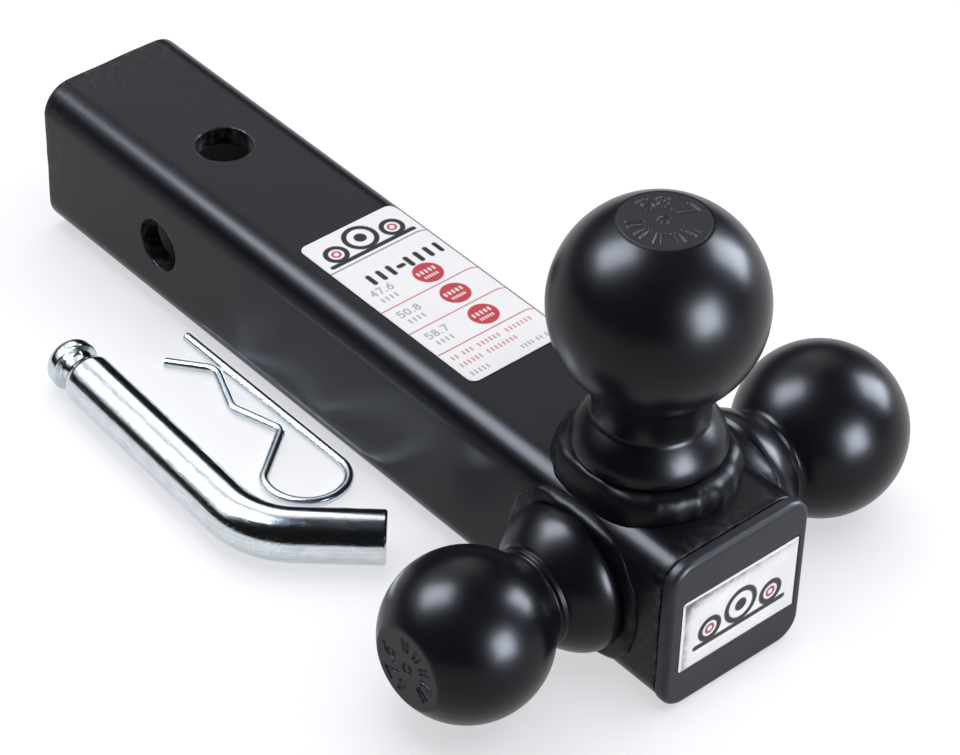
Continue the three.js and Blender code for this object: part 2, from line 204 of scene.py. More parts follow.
class Socket:
    """An output in a material's node tree. Arithmetic on outputs and numbers adds Math nodes."""

    def __init__(self, tree, output):
        """Keeps the node tree, and one output in it."""
        self.tree, self.output = tree, output

    def node(self, kind, settings=None, inputs=None, output=0):
        """A new node of this kind. Its settings are made first, the stops of a colour ramp among them, and
        then each input gets its number, colour or link."""
        made = self.tree.nodes.new(kind)
        for name, value in (settings or {}).items():
            setattr(made, name, value)
        for name, value in (inputs or {}).items():
            if isinstance(value, Socket):
                value.into(made.inputs[name])
            else:
                made.inputs[name].default_value = value
        return Socket(self.tree, made.outputs[output])

    def into(self, target):
        """Links this output to an input."""
        self.tree.links.new(self.output, target)

    def maths(self, operation, *terms):
        """One Math node on these outputs and numbers."""
        return self.node("ShaderNodeMath", {"operation": operation}, dict(enumerate(terms)))

    def __add__(self, other):
        return self.maths("ADD", self, other)

    def __sub__(self, other):
        return self.maths("SUBTRACT", self, other)

    def __rsub__(self, other):
        return self.maths("SUBTRACT", other, self)

    def __mul__(self, other):
        return self.maths("MULTIPLY", self, other)

    __radd__, __rmul__ = __add__, __mul__

    def noise(self, size, detail=2.0):
        """Soft noise from 0 to 1 with blotches of about this size, in millimetres, at these coordinates."""
        return self.node("ShaderNodeTexNoise",
                         inputs={"Vector": self, "Scale": 1 / (size * MM), "Detail": detail})

    def step(self, low, high):
        """0 below the low value and 1 above the high one, with an eased rise between them."""
        return self.node("ShaderNodeMapRange", {"interpolation_type": "SMOOTHSTEP"},
                         {"Value": self, "From Min": low, "From Max": high})

    def blend(self, first, second):
        """The first colour where this is 0, the second where it is 1."""
        return self.node("ShaderNodeMix", {"data_type": "RGBA"}, {0: self, 6: first, 7: second}, output=2)

    def bump(self, height, strength=1.0):
        """The surface normal over relief of this height in millimetres, where this is the relief, 0 to 1."""
        return self.node("ShaderNodeBump", output="Normal",
                         inputs={"Height": self, "Distance": height * MM, "Strength": strength})


def new_finish(name):
    """A material with one Principled shader: the material, the shader's inputs, the object's coordinates,
    and a way to read the marks that a mesh holds."""
    material = bpy.data.materials.new(name)
    material.use_nodes = True
    tree = material.node_tree
    start = Socket(tree, None)
    place = start.node("ShaderNodeTexCoord", output="Object")

    def mark(title, output="Fac"):
        """The named mark of the mesh, as a number or, with the output Vector, as coordinates."""
        return start.node("ShaderNodeAttribute", {"attribute_name": title}, output=output)

    return material, tree.nodes["Principled BSDF"].inputs, place, mark


powder_coat, shader, place, mark = new_finish("satin_powder_coat")
cloud = place.noise(38, 3)
peel = place.noise(1.5, 1)
grain = place.noise(0.3, 2)
scuffed = mark("wear") * place.noise(2.4, 4).step(0.42, 0.7)
scuffed.blend(cloud.step(0.3, 0.7).blend(COAT_BLACK, COAT_GREY), COAT_SCUFF).into(shader["Base Color"])
(0.24 + 0.05 * cloud + 0.06 * grain).into(shader["Roughness"])
shader["Specular IOR Level"].default_value = 0.125
(0.75 * peel + 0.25 * grain).bump(0.014).into(shader["Normal"])

skin, skin_wear = tube_skin()
holes = [pin_hole(quarter) for quarter in range(4)]
add_piece("shank_tube", [skin] + [hole for hole, _ in holes], powder_coat,
          marks={"wear": np.concatenate([skin_wear] + [wear for _, wear in holes])})


# ---------------------------------------------------------------------------------------------------
# The three balls: each is one steel forging, turned to its nominal diameter, with a narrow neck, a
# shouldered stem that flares to a rim, and a flat crown stamped with its size. Enamelled gloss black.

FOOT = 20.2                 # radius of the stem where it is welded down
SUNK = 1.4                  # how far the stem reaches below the face of the tube, inside the weld
RIM_BELOW, RIM_ABOVE = 0.8, 0.6             # how far the rim goes on below and above its height
FLARE_POWER = 1.6
CROWN_FLAT = 12.2           # radius of the flat
SIDES = 320
STAMP_DEPTH = 0.5
STAMP_WIDTH = 0.95
STAMP_HEIGHT = 4.6
STAMP_WALL = 0.24           # width of the sloping wall of a stroke
STAMP_PITCH = 4.6
STAMP_BASE = 5.2            # radius of the circle that the figures stand on
STAMP_RING = 1.5
TICK_RANGE = (5.9, 9.6)     # inner and outer end of the index marks on the other side
TICK_TURNS = (104, 136, 170, 204, 238)      # where each pair starts, from the middle of the size
TICK_PAIR = 12              # turn between the two marks of a pair
CROWN_EDGE = 0.12           # how far the edge of the flat is rounded down
CROWN_EDGE_WIDTH = 0.3
ENAMEL_BLACK = (0.0040, 0.0042, 0.0066, 1)
ENAMEL_GREY = (0.0072, 0.0075, 0.0108, 1)
CROWN_GREY = (0.017, 0.0175, 0.021, 1)

# For each ball: how far its centre stands off the face of the tube, its neck, the rim, the top of the
# flare, the side of the tube it is on, its size in millimetres as stamped, where the stamp is centred, and
# whether the flare meets the neck in steps or in a hollow curve
BALLS = {
    "ball_2_5_16_in": dict(standoff=54.2, neck=15.8, rim=(21.3, 9.4), flare=(16.5, 18.2), quarter=0,
                           size="58.7", stamp=131, stepped=False),
    "ball_2_in": dict(standoff=42.8, neck=14.2, rim=(21.1, 8.5), flare=(15.9, 18.9), quarter=1,
                      size="50.8", stamp=100, stepped=True),
    "ball_1_7_8_in": dict(standoff=37.3, neck=13.4, rim=(21.6, 3.0), flare=(15.2, 13.4), quarter=3,
                          size="47.6", stamp=212, stepped=True),
}

# Each figure as one pen stroke in a box 0.6 wide and 1 high
FIGURES = {
    "0": [(0.3, 0), (0.06, 0.18), (0, 0.5), (0.06, 0.82), (0.3, 1), (0.54, 0.82), (0.6, 0.5), (0.54, 0.18),
          (0.3, 0)],
    "4": [(0.46, 0), (0.46, 1), (0, 0.3), (0.6, 0.3)],
    "5": [(0.54, 1), (0.1, 1), (0.06, 0.56), (0.32, 0.63), (0.56, 0.5), (0.6, 0.28), (0.46, 0.05), (0.2, 0),
          (0, 0.14)],
    "6": [(0.5, 1), (0.16, 0.72), (0, 0.34), (0.06, 0.1), (0.3, 0), (0.54, 0.1), (0.6, 0.32), (0.5, 0.52),
          (0.28, 0.6), (0.06, 0.48)],
    "7": [(0, 1), (0.6, 1), (0.2, 0)],
    "8": [(0.3, 0.55), (0.08, 0.68), (0.08, 0.88), (0.3, 1), (0.52, 0.88), (0.52, 0.68), (0.3, 0.55),
          (0.04, 0.38), (0.04, 0.12), (0.3, 0), (0.56, 0.12), (0.56, 0.38), (0.3, 0.55)],
    ".": [(0.3, 0.04), (0.3, 0)],
}


def circle_arc(centre, radius, start, end, steps):
    """Points on a circle from one angle to another, in degrees."""
    turn = np.radians(np.linspace(start, end, steps))
    return np.array(centre) + radius * np.stack([np.cos(turn), np.sin(turn)], axis=1)


def rounded_path(corners, step=9):
    """A path through corners given as two coordinates and a radius. At each corner the path leaves the two
    straight stretches for the circle of that radius which touches both."""
    places = np.array([corner[:2] for corner in corners], float)
    parts = [places[:1]]
    for before, (x, y, radius), after in zip(places, corners[1:-1], places[2:]):
        corner = np.array([x, y])
        back = (before - corner) / np.linalg.norm(before - corner)
        ahead = (after - corner) / np.linalg.norm(after - corner)
        half = math.acos(np.clip(back @ ahead, -1, 1)) / 2
        centre = corner + (back + ahead) / np.linalg.norm(back + ahead) * radius / math.sin(half)
        start = corner + back * radius / math.tan(half) - centre
        sweep = math.copysign(math.pi - 2 * half, back[0] * -ahead[1] + back[1] * ahead[0])
        turn = np.linspace(0, sweep, max(3, int(abs(math.degrees(sweep)) / step)))[:, None]
        parts.append(centre + start * np.cos(turn) + np.array([-start[1], start[0]]) * np.sin(turn))
    return np.vstack(parts + [places[-1:]])


def stroke_distance(points, strokes):
    """Distance from every point to the nearest of the straight pieces of some pen strokes."""
    nearest = np.full(points.shape[:-1], np.inf)
    for stroke in strokes:
        stroke = np.array(stroke, float)
        for start, end in zip(stroke[:-1], stroke[1:]):
            run = end - start
            share = np.clip((points - start) @ run / max(run @ run, 1e-9), 0, 1)
            nearest = np.minimum(nearest, np.linalg.norm(points - start - share[..., None] * run, axis=-1))
    return nearest


def line_of_figures(text, height, pitch):
    """Pen strokes for a number, centred on the origin and standing on the first axis. Each figure takes
    one pitch and the point takes half of one."""
    widths = np.array([0.5 if figure == "." else 1 for figure in text])
    starts = (np.cumsum(widths) - widths / 2 - widths.sum() / 2) * pitch - 0.3 * height
    return [np.array(FIGURES[figure]) * height + (start, 0) for figure, start in zip(text, starts)]


def crown_stamp(size, centre):
    """Pen strokes on a crown: the size bent round a circle with its head outwards, paired index marks on
    the rest of the circle, and a ring in the middle."""
    strokes = []
    for figure in line_of_figures(size, STAMP_HEIGHT, STAMP_PITCH):
        turn = math.radians(centre) - figure[:, 0] / (STAMP_BASE + STAMP_HEIGHT / 2)
        reach = STAMP_BASE + figure[:, 1]
        strokes.append(np.stack([reach * np.cos(turn), reach * np.sin(turn)], axis=1))
    for turn in np.radians(centre + np.add.outer(TICK_TURNS, (0, TICK_PAIR)).ravel()):
        strokes.append([(r * math.cos(turn), r * math.sin(turn)) for r in TICK_RANGE])
    return strokes + [circle_arc((0, 0), STAMP_RING, 0, 360, 13)]


def ball_profile(radius, standoff, neck, rim, flare, stepped):
    """Radius against height above the face of the tube, from under the foot to the edge of the crown: foot,
    rim, a flare that stands upright at the rim and narrows as a power of its height, a shoulder in two
    small steps or a hollow curve, the neck, and the circle of the ball."""
    rim_radius, rim_height = rim
    flare_radius, flare_height = flare
    rise = np.linspace(0.06, 0.97, 20)[:, None]
    rim_top = rim_height + RIM_ABOVE
    flank = np.hstack([flare_radius + (rim_radius - flare_radius) * (1 - rise ** FLARE_POWER),
                       rim_top + (flare_height - rim_top) * rise])
    foot = rounded_path([(FOOT, -SUNK), (FOOT, rim_height - 1.7, 0.5),
                         (rim_radius, rim_height - RIM_BELOW, 0.5), (rim_radius, rim_top, 0.7),
                         tuple(flank[0])], 18)
    low = math.degrees(math.acos(neck / radius))
    joint = standoff - radius * math.sin(math.radians(low))
    ledge = (flare_radius + neck) / 2
    turns = [(flare_radius, flare_height, 0.4), (ledge, flare_height + 0.6, 0.3),
             (ledge, flare_height + 1.7, 0.4), (neck, flare_height + 2.4, 0.5)]
    if not stepped:
        turns = [(neck, flare_height + 1.1 * (flare_radius - neck), 2.6)]
    shoulder = rounded_path([tuple(flank[-1])] + turns + [(neck, joint)], 8)
    high = math.degrees(math.acos(CROWN_FLAT / radius))
    sphere = circle_arc((0, standoff), radius, 3 - low, high - 0.6, 84)
    return np.vstack([[(0, -SUNK)], foot, flank[1:-1], shoulder[:-1], sphere])


def ball(name, standoff, neck, rim, flare, quarter, size, stamp, stepped):
    """The profile turned about its own axis, and the crown: rings that shrink from its rounded edge to a
    pole, sunk by the stamp depth wherever they pass near a stroke of the stamp."""
    radius = (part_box(name)[1][0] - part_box(name)[0][0]) / MM / 2
    profile = ball_profile(radius, standoff, neck, rim, flare, stepped)
    level = standoff + math.sqrt(radius ** 2 - CROWN_FLAT ** 2)
    rings = np.concatenate([CROWN_FLAT - 0.1 * np.arange(3), np.linspace(CROWN_FLAT - 0.5, 0, 92)])
    turn = np.linspace(0, 2 * np.pi, SIDES, endpoint=False)
    around = np.stack([np.cos(turn), np.sin(turn)], axis=1)
    crown = rings[:, None, None] * around
    near = stroke_distance(crown, crown_stamp(size, stamp))
    sink = STAMP_DEPTH * np.clip((STAMP_WIDTH / 2 + STAMP_WALL / 2 - near) / STAMP_WALL, 0, 1)
    edge = CROWN_EDGE * np.clip(1 - (CROWN_FLAT - rings) / CROWN_EDGE_WIDTH, 0, 1) ** 2
    flat = np.dstack([crown, level - edge[:, None] - sink])
    body = np.dstack([profile[:, :1, None] * around, np.repeat(profile[:, 1:], SIDES, axis=1)])
    grid = np.vstack([body, flat])
    y, z = to_side(grid[..., 1], HALF + grid[..., 2], quarter)
    stamped = np.vstack([np.zeros(body.shape[:2]), sink / STAMP_DEPTH])
    flats = np.vstack([np.zeros(body.shape[:2]), np.ones(flat.shape[:2])])
    add_piece(name, [sheet(np.dstack([grid[..., 0], y, z]), wrap_columns=True)], enamel,
              sharp=60, marks={"stamp": stamped.ravel(), "flat": flats.ravel()})


enamel, shader, place, mark = new_finish("gloss_enamel")
cloud = place.noise(24, 3)
peel = place.noise(1.1, 2)
grain = place.noise(0.35, 2)
flat = mark("flat")
walls = mark("stamp").step(0.0, 0.45) * (1 - mark("stamp").step(0.55, 1.0))
painted = flat.blend(cloud.step(0.3, 0.7).blend(ENAMEL_BLACK, ENAMEL_GREY), CROWN_GREY)
(walls * (0.35 + 0.65 * grain)).blend(painted, COAT_SCUFF).into(shader["Base Color"])
(0.24 + 0.05 * cloud + 0.05 * grain + 0.16 * flat).into(shader["Roughness"])
shader["Specular IOR Level"].default_value = 0.16
(0.6 * peel + 0.4 * grain).bump(0.007).into(shader["Normal"])
for name, sizes in BALLS.items():
    ball(name, **sizes)


# ---------------------------------------------------------------------------------------------------
# The weld beads: one fat fillet of weld metal round the foot of each ball, laid by hand, so its height
# and its toe wander and it shows the ripples of the torch. It runs out where the next bead begins.

TOE = 25.8                  # radius of the outer edge on the face of the tube
TOE_LIMIT = 22.9            # how far a bead reaches sideways on the rounded corner of the tube
TOE_WANDER = 0.35
CREST_BELOW_RIM = 1.8
CREST_TILT = 0.3            # how far the upper edge wanders up and down
CREST_WANDER = 0.1          # how far the crest swells and sinks
RIPPLE = 0.014
RIPPLE_PITCH = 3.1
RIPPLE_BOW = 2.5            # how far each ripple bows along the bead, in radians of its wave
OVERLAP = 0.4               # how far the weld metal goes into the foot
BEAD_SIDES = 360
BEAD_FULLNESS = 0.72        # below 1 makes the bead fuller than a quarter round
TOE_BEND = 14               # how sharply the toe turns from its circle to the limit


def tube_drop(y):
    """How far the tube's surface lies below its flat side, at this distance from the middle of the side."""
    past = np.clip(np.abs(y) - FLAT_HALF, 0, TUBE_CORNER)
    return TUBE_CORNER - np.sqrt(TUBE_CORNER ** 2 - past ** 2)


def bead(ball_name, rim, quarter):
    """Rings of a fat quarter round, from high on the foot to the toe on the tube, and back below the skin.
    The toe is a circle flattened where the side ends, and the crest swells and sinks with the waves."""
    turn = np.linspace(0, 2 * np.pi, BEAD_SIDES, endpoint=False)
    travel = turn * TOE
    seed = 20 + 5 * quarter
    wander = waves(turn, 2 * np.pi, seed)
    lumps = waves(turn, 2 * np.pi, seed + 1, 5)
    reach = TOE + TOE_WANDER * waves(turn, 2 * np.pi, seed + 2, 9)
    side = TOE_LIMIT / np.maximum(np.abs(np.sin(turn)), 1e-6)
    reach = (reach ** -TOE_BEND + side ** -TOE_BEND) ** (-1 / TOE_BEND)
    top = rim[1] - CREST_BELOW_RIM + CREST_TILT * wander
    toe = -tube_drop(reach * np.sin(turn)) - 0.05
    sweep = np.radians(np.linspace(90, 0, 26))[:, None]
    out = np.cos(sweep) ** BEAD_FULLNESS
    up = np.sin(sweep) ** BEAD_FULLNESS
    swell = np.sin(2 * sweep)
    phase = 2 * np.pi * travel / RIPPLE_PITCH + RIPPLE_BOW * np.cos(sweep) ** 2 + 2 * wander
    relief = swell * (CREST_WANDER * lumps + RIPPLE * np.clip(1 + wander, 0, 2) * np.sin(phase))
    radius = FOOT - OVERLAP + (reach - FOOT + OVERLAP) * out + relief * np.cos(sweep)
    height = toe + (top - toe) * up + relief * np.sin(sweep)
    under = np.array([[-0.5, -1.2], [-3.0, -1.3], [-5.0, -1.2]])
    radius = np.vstack([radius, np.maximum(reach + under[:, :1], FOOT - 1.2)])
    height = np.vstack([height, toe + under[:, 1:]])
    y, z = to_side(radius * np.sin(turn), HALF + height, quarter)
    add_piece("weld_" + ball_name, [sheet(np.dstack([radius * np.cos(turn), y, z]), True, True)],
              enamel_on_weld, sharp=70)


enamel_on_weld, shader, place, mark = new_finish("enamel_on_weld")
cloud = place.noise(7, 3)
lumps = place.noise(2.6, 2)
cloud.step(0.3, 0.7).blend(ENAMEL_BLACK, COAT_BLACK).into(shader["Base Color"])
(0.28 + 0.14 * cloud).into(shader["Roughness"])
shader["Specular IOR Level"].default_value = 0.1
(0.85 * lumps + 0.15 * place.noise(0.5, 2)).bump(0.022).into(shader["Normal"])
for name, sizes in BALLS.items():
    bead(name, sizes["rim"], sizes["quarter"])


# ---------------------------------------------------------------------------------------------------
# The end cap: one injection moulding in black plastic, a flange that covers the end of the tube, a
# recess for the badge, and a hollow plug whose soft fins are pressed into the bore and hold it there.

CAP_CORNER = 7.5
CAP_EDGE = 1.8              # rounding of the front edge
CAP_BACK_EDGE = 0.5
FLANGE = 3.9
PLUG = 31.0
PLUG_WALL = 2.4
FIN = 37.5
FIN_THICKNESS = 1.4
FIN_STEP = 5.2
RECESS_DEPTH = 0.8
RECESS = (43.0, 25.6, 1.0)  # width, height and corner
FLASH_WAVE = 0.1
PLASTIC_DARK = (0.021, 0.021, 0.029, 1)
PLASTIC_PALE = (0.029, 0.029, 0.038, 1)

cap_low, cap_high = (np.array(corner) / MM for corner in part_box("end_cap"))
badge_low, badge_high = (np.array(corner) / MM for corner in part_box("cap_badge"))
BADGE_Y = (badge_low[1] + badge_high[1]) / 2


def rounded_rectangle(width, height, radius, side_steps=12, corner_steps=10):
    """Outline of a rectangle with round corners about the origin: a quarter circle at each corner, and
    even steps along the straight side that follows it."""
    parts = []
    signs = [(1, 1), (-1, 1), (-1, -1), (1, -1)]
    centres = np.array(signs) * (width / 2 - radius, height / 2 - radius)
    for quarter, centre in enumerate(centres):
        arc = circle_arc(centre, radius, 90 * quarter, 90 * quarter + 90, corner_steps)
        following = circle_arc(centres[(quarter + 1) % 4], radius, 90 * quarter + 90, 90 * quarter + 90, 1)
        share = np.linspace(0, 1, side_steps + 1)[1:-1, None]
        parts += [arc, arc[-1] + (following - arc[-1]) * share]
    return np.vstack(parts)


def loft(rows):
    """Outlines set one behind another along X, each given as X, width, height, corner and sideways place."""
    grids = []
    for x, width, height, radius, y in rows:
        outline = rounded_rectangle(width, height, radius)
        grids.append(np.column_stack([np.full(len(outline), x), outline[:, 0] + y, outline[:, 1] + MIDDLE_Z]))
    return np.array(grids)


def end_cap():
    """From the pole in the hollow plug, back over the plug's rim, forwards over the fins, out over the
    flange and its round edge, and into the recess to the pole of its floor."""
    back, front, size = cap_high[0] - FLANGE, cap_high[0], cap_high[1] - cap_low[1]
    tail, hollow = cap_low[0], PLUG - 2 * PLUG_WALL
    rows = [(back, 0, 0, 0, 0), (back, hollow - 1, hollow - 1, 2, 0), (back - 0.5, hollow, hollow, 2, 0),
            (tail + 0.4, hollow, hollow, 2, 0), (tail, hollow + 0.8, hollow + 0.8, 2.2, 0),
            (tail, PLUG - 0.8, PLUG - 0.8, 3.8, 0), (tail + 0.4, PLUG, PLUG, 4, 0)]
    for start in tail + 3 + FIN_STEP * np.arange(3):
        tip = FIN - 0.8
        rows += [(start, PLUG, PLUG, 4, 0), (start, tip, tip, 3, 0), (start + 0.4, FIN, FIN, 3.15, 0),
                 (start + FIN_THICKNESS - 0.4, FIN, FIN, 3.15, 0), (start + FIN_THICKNESS, tip, tip, 3, 0),
                 (start + FIN_THICKNESS, PLUG, PLUG, 4, 0)]
    rows += [(back, PLUG, PLUG, 4, 0), (back, size - 4, size - 4, CAP_CORNER - 2, 0)]
    flange_start = len(rows)
    for turn in np.radians(np.linspace(0, 90, 5)):
        inset = CAP_BACK_EDGE * (1 - math.sin(turn))
        rows.append((back + CAP_BACK_EDGE * (1 - math.cos(turn)), size - 2 * inset, size - 2 * inset,
                     CAP_CORNER - inset, 0))
    flange_end = len(rows)
    for turn in np.radians(np.linspace(0, 90, 10)):
        inset = CAP_EDGE * (1 - math.cos(turn))
        rows.append((front - CAP_EDGE * (1 - math.sin(turn)), size - 2 * inset, size - 2 * inset,
                     CAP_CORNER - inset, 0))
    inner = size - 2 * CAP_EDGE - 0.8
    width, height, corner = RECESS
    rows += [(front, inner, inner, CAP_CORNER - CAP_EDGE - 0.4, 0),
             (front, width + 1.4, height + 1.4, corner + 0.7, BADGE_Y),
             (front, width + 0.5, height + 0.5, corner + 0.25, BADGE_Y),
             (front - 0.07, width + 0.15, height + 0.15, corner + 0.1, BADGE_Y),
             (front - 0.25, width, height, corner, BADGE_Y),
             (front - RECESS_DEPTH, width, height, corner, BADGE_Y), (front - RECESS_DEPTH, 0, 0, 0, BADGE_Y)]
    grid = loft(rows)
    around = np.linspace(0, 1, grid.shape[1], endpoint=False)
    flash = FLASH_WAVE * waves(around, 1, 51, 12)
    fade = np.linspace(1, 0, flange_end - flange_start)[:, None]
    grid[flange_start:flange_end, :, 0] += fade * flash
    return sheet(grid, wrap_columns=True)


cap_plastic, shader, place, mark = new_finish("moulded_plastic")
cloud = place.noise(16, 3)
texture = place.noise(0.55, 3)
cloud.step(0.3, 0.7).blend(PLASTIC_DARK, PLASTIC_PALE).into(shader["Base Color"])
(0.3 + 0.1 * cloud + 0.1 * texture).into(shader["Roughness"])
shader["Specular IOR Level"].default_value = 0.2
(0.6 * texture + 0.4 * place.noise(4, 2)).bump(0.02).into(shader["Normal"])
add_piece("end_cap", [end_cap()], cap_plastic, sharp=50)


# ---------------------------------------------------------------------------------------------------
# The badge: silver foil printed in black and red under a clear resin dome that draws down to a thin
# edge. It is stuck into the recess of the cap. The mark on it is a plain row of three rings on a bar.

BADGE_CORNER = 0.9
BADGE_WALL = 0.5            # upright edge of the resin
BADGE_CELL = 0.2
REFLECTION_FADE = 2.2             # how fast the painted dark reflection fades away from the upper and outer edges of the foil
MENISCUS = 2.6              # how far in from the edge the resin reaches its full height
INK_EDGE = 0.22             # width of the soft edge of a printed line
MARK_PEN = 1.7
MARK_DOT = 2.1              # radius of the dot in the middle ring
FOIL = (0.93, 0.93, 0.935, 1)
FOIL_SHADE = (0.86, 0.865, 0.875, 1)
# Colour of the painted dark reflection on the foil
PAINTED_REFLECTION_DARK = (0.17, 0.175, 0.19, 1)
INK_BLACK = (0.012, 0.013, 0.016, 1)
INK_RED = (0.52, 0.035, 0.05, 1)
INK_GREY = (0.3, 0.3, 0.32, 1)


def rounded_grid(width, height, corner, cell):
    """An even grid over a rectangle, whose corner squares are pressed into quarter discs: each coordinate
    in the square is shortened by the square root of one less half of the other's square."""
    across = np.linspace(-width / 2, width / 2, round(width / cell) + 1)
    up = np.linspace(-height / 2, height / 2, round(height / cell) + 1)
    u, v = np.meshgrid(across, up)
    past_u = np.clip((np.abs(u) - width / 2 + corner) / corner, 0, 1)
    past_v = np.clip((np.abs(v) - height / 2 + corner) / corner, 0, 1)
    u = u - np.sign(u) * corner * past_u * (1 - np.sqrt(1 - past_v ** 2 / 2))
    v = v - np.sign(v) * corner * past_v * (1 - np.sqrt(1 - past_u ** 2 / 2))
    return u, v


def rim_of(grid):
    """The points round the edge of a grid, in order."""
    return np.vstack([grid[0, :-1], grid[:-1, -1], grid[-1, :0:-1], grid[:0:-1, 0]])


def ink(points, strokes, width):
    """How much of each point a pen of this width covers, from 0 to 1."""
    return np.clip((width / 2 - stroke_distance(points, strokes)) / INK_EDGE + 0.5, 0, 1)


def ring(x, y, radius):
    """A circle as one pen stroke."""
    return circle_arc((x, y), radius, 0, 360, 25)


def three_ring_mark(points, scale, centre):
    """A plain mark in black and red: three bold rings that stand on a bar, the middle one larger, with a
    red ring inside the outer two."""
    local = (points - np.array(centre)) / scale
    bars = [[(-16.2, -6.0), (16.2, -6.0)]]
    rings = [ring(-11.2, -1.4, 3.4), ring(0, 0.6, 5.2), ring(11.2, -1.4, 3.4)]
    dot = np.clip((MARK_DOT - np.linalg.norm(local - (0, 0.6), axis=-1)) / INK_EDGE + 0.5, 0, 1)
    red = ink(local, [ring(-11.2, -1.4, 1.3), ring(11.2, -1.4, 1.3)], 0.75)
    return np.maximum(ink(local, bars + rings, MARK_PEN), dot), red


def printed_piece(front, sides, covers):
    """The sheets of a piece that is printed on its front, and each mark of every point, an ink's cover or a
    painted reflection: as given on the front, and none on the sides."""
    plain = np.zeros(len(sides[0]))
    marks = {name: np.concatenate([cover.ravel(), plain]) for name, cover in covers.items()}
    return [sheet(front), sides], marks


def badge():
    """The front is an even grid that rises from the edge of the resin with an easing curve, and bows a
    little to its middle. A wall runs back from its rim, and the back closes to a pole."""
    width, height = badge_high[1:] - badge_low[1:]
    u, v = rounded_grid(width, height, BADGE_CORNER, BADGE_CELL)
    inward = np.minimum(width / 2 - np.abs(u), height / 2 - np.abs(v)).clip(0)
    rise = 1 - (1 - np.clip(inward / MENISCUS, 0, 1)) ** 3
    bow = (1 - (2 * u / width) ** 2) * (1 - (2 * v / height) ** 2)
    edge_x = badge_low[0] + BADGE_WALL
    x = edge_x + (badge_high[0] - edge_x) * (0.8 * rise + 0.2 * bow)
    front = np.dstack([x, BADGE_Y + u, MIDDLE_Z + v])
    rim = rim_of(front)
    back = rim * (0, 1, 1) + (badge_low[0], 0, 0)
    pole = np.broadcast_to([badge_low[0], BADGE_Y, MIDDLE_Z], rim.shape)
    sides = sheet(np.array([rim, back, pole]), wrap_columns=True)
    black, red = three_ring_mark(np.dstack([u, v]), 1.0, (0, 0))
    # Painted reflection: the foil is darkened along its upper edge, more towards the outer side, and along
    # its outer side edge, fading inwards and left off at the very edge
    from_top, from_side = height / 2 - v, width / 2 + u
    painted_reflection = np.exp(-from_top / REFLECTION_FADE) * (0.75 - 0.5 * u / width) + 0.7 * np.exp(-from_side / REFLECTION_FADE)
    painted_reflection *= np.clip(inward / 0.9, 0, 1) ** 2
    return printed_piece(front, sides, {"black_ink": black, "red_ink": red, "painted_reflection": painted_reflection})


badge_foil, shader, place, mark = new_finish("foil_under_resin")
brushed = place.noise(9, 3)
# The painted dark reflection along the upper and outer edges of the foil, broken up by noise
painted_reflection = (mark("painted_reflection") * (0.4 + 1.3 * place.noise(1.8, 4))).step(0.06, 0.8)
foil = painted_reflection.blend(brushed.step(0.35, 0.65).blend(FOIL_SHADE, FOIL), PAINTED_REFLECTION_DARK)
paint = mark("red_ink").blend(foil, INK_RED)
inked = mark("black_ink")
inked.blend(paint, INK_BLACK).into(shader["Base Color"])
(0.85 * (1 - inked) * (1 - mark("red_ink"))).into(shader["Metallic"])
(0.14 + 0.08 * place.noise(1.2, 2)).into(shader["Roughness"])
place.noise(3.5, 2).bump(0.012).into(shader["Normal"])
shader["Specular IOR Level"].default_value = 0.2
shader["Coat Weight"].default_value = 0.2
shader["Coat Roughness"].default_value = 0.04
badge_sheets, badge_marks = badge()
add_piece("cap_badge", badge_sheets, badge_foil, sharp=60, marks=badge_marks)


# ---------------------------------------------------------------------------------------------------
# The label: white film printed in black, grey and red, stuck on the top of the shank with its right
# edge pressed down over the rounded corner. Words and ratings are plain blocks, and only sizes are read.

LABEL_CORNER = 2.6
LABEL_CELL = 0.2
LABEL_FILM = 0.2
LABEL_GLUE = 0.1
FILM_WHITE = (0.86, 0.858, 0.862, 1)
FILM_SHADE = (0.835, 0.833, 0.84, 1)
ROWS = {"47.6": 45.0, "50.8": 33.1, "58.7": 21.0}   # size printed in each row, and the row's height
RULES = (39.1, 27.0, 14.9)
DISC_RADIUS = 4.65

label_low, label_high = (np.array(corner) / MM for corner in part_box("shank_label"))
WRAP_RADIUS = TUBE_CORNER + LABEL_GLUE + LABEL_FILM
LABEL_WRAP = math.asin((label_high[1] - FLAT_HALF) / WRAP_RADIUS)


def blocks(x, y, letters, width, height, gap):
    """A word set as upright blocks of this pen width, for a number of letters."""
    places = x + np.arange(letters) * (width + gap)
    return [[(at, y), (at, y + height)] for at in places]


def label():
    """An even grid laid on the flat of the tube. Past the flat it goes on round the corner, so that the
    distance along the film becomes an angle. Its front edge is the foot of the print."""
    length = label_high[0] - label_low[0]
    spread = FLAT_HALF - label_low[1] + LABEL_WRAP * WRAP_RADIUS
    u, v = rounded_grid(spread, length, LABEL_CORNER, LABEL_CELL)
    across, up = u + spread / 2 + label_low[1], v + length / 2
    turn = np.clip(across - FLAT_HALF, 0, None) / WRAP_RADIUS

    def on_tube(radius):
        """The film's points at this radius from the centre of the tube's corner."""
        y = np.minimum(across, FLAT_HALF) + radius * np.sin(turn)
        z = MIDDLE_Z + FLAT_HALF + radius * np.cos(turn)
        return np.dstack([label_high[0] - up, y, z])

    front = on_tube(WRAP_RADIUS)
    rim, under = rim_of(front), rim_of(on_tube(WRAP_RADIUS - LABEL_FILM))
    pole = np.broadcast_to(under.mean(axis=0) * (1, 1, 0) + (0, 0, MIDDLE_Z + HALF - 1), rim.shape)
    sides = sheet(np.array([rim, under, pole]), wrap_columns=True)
    return printed_piece(front, sides, label_print(np.dstack([across, up])))


